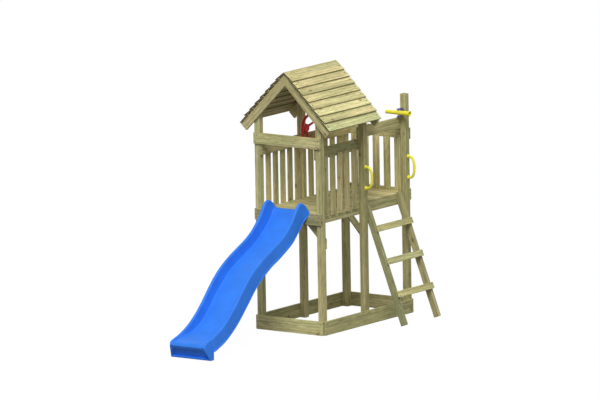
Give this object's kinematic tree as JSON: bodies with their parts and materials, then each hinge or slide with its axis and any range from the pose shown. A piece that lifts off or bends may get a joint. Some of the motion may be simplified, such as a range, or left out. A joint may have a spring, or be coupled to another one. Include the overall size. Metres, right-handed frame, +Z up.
{
  "type": "play tower",
  "caption": "Timber play tower with a raised platform, gabled roof over a picketed house, leaning ladder, wavy slide, handgrips, steering wheel and telescope.",
  "frame": {"origin": "on the ground, at the middle of the whole object's box", "axes": "+Z up, the slide leaves towards -Y, the ladder stands on the +X side"},
  "size_m": [1.3524, 3.2498, 2.5779],
  "materials": {
    "timber": "planed, pressure treated",
    "roof_timber": "sawn, pressure treated",
    "slide_plastic": "satin blue",
    "yellow_plastic": "satin yellow",
    "red_plastic": "satin red",
    "purple_plastic": "matt purple"
  },
  "bodies": {
    "tower": {"post_front_left": "timber", "post_front_right": "timber", "post_middle_left": "timber", "post_middle_right": "timber", "post_back_left": "timber", "post_back_right": "timber", "base_front": "timber", "base_back": "timber", "base_left": "timber", "base_right": "timber", "joist_front": "timber", "joist_back": "timber", "joist_left": "timber", "joist_right": "timber", "joist_cross": "timber", "deck": "timber", "rail_front": "timber", "entry_bar": "timber", "wall_left": "timber", "wall_right": "timber", "wall_back": "timber", "barge_front_left": "timber", "barge_front_right": "timber", "barge_back_left": "timber", "barge_back_right": "timber", "brace_middle_left": "timber", "brace_middle_right": "timber", "brace_front_left": "timber", "brace_front_right": "timber", "stringer_near": "timber", "stringer_far": "timber", "rung_1": "timber", "rung_2": "timber", "rung_3": "timber", "roof_board_left_1": "roof_timber", "roof_board_left_2": "roof_timber", "roof_board_left_3": "roof_timber", "roof_board_left_4": "roof_timber", "roof_board_left_5": "roof_timber", "roof_board_left_6": "roof_timber", "roof_board_left_7": "roof_timber", "roof_board_left_8": "roof_timber", "roof_board_right_1": "roof_timber", "roof_board_right_2": "roof_timber", "roof_board_right_3": "roof_timber", "roof_board_right_4": "roof_timber", "roof_board_right_5": "roof_timber", "roof_board_right_6": "roof_timber", "roof_board_right_7": "roof_timber", "roof_board_right_8": "roof_timber", "slide": "slide_plastic", "handgrip_middle": "yellow_plastic", "handgrip_back": "yellow_plastic", "wheel_mount": "red_plastic", "telescope_base": "purple_plastic"},
    "wheel": {"steering_wheel": "red_plastic"},
    "bracket": {"telescope_bracket": "purple_plastic"},
    "scope": {"telescope_tube": "yellow_plastic"}
  },
  "joints": [
    {"name": "wheel_turn", "type": "hinge", "parent": "tower", "child": "wheel", "pos_m": [-0.4729, 0.8516, 1.89], "axis": [1, 0, 0], "continuous": true},
    {"name": "telescope_tilt", "type": "hinge", "parent": "tower", "child": "bracket", "pos_m": [0.2253, 1.4781, 2.005], "axis": [0, 1, 0], "range_deg": [-15, 30]},
    {"name": "telescope_pan", "type": "hinge", "parent": "bracket", "child": "scope", "pos_m": [0.2253, 1.4781, 2.005], "axis": [0, 0, 1], "range_deg": [-30, 30]}
  ]
}
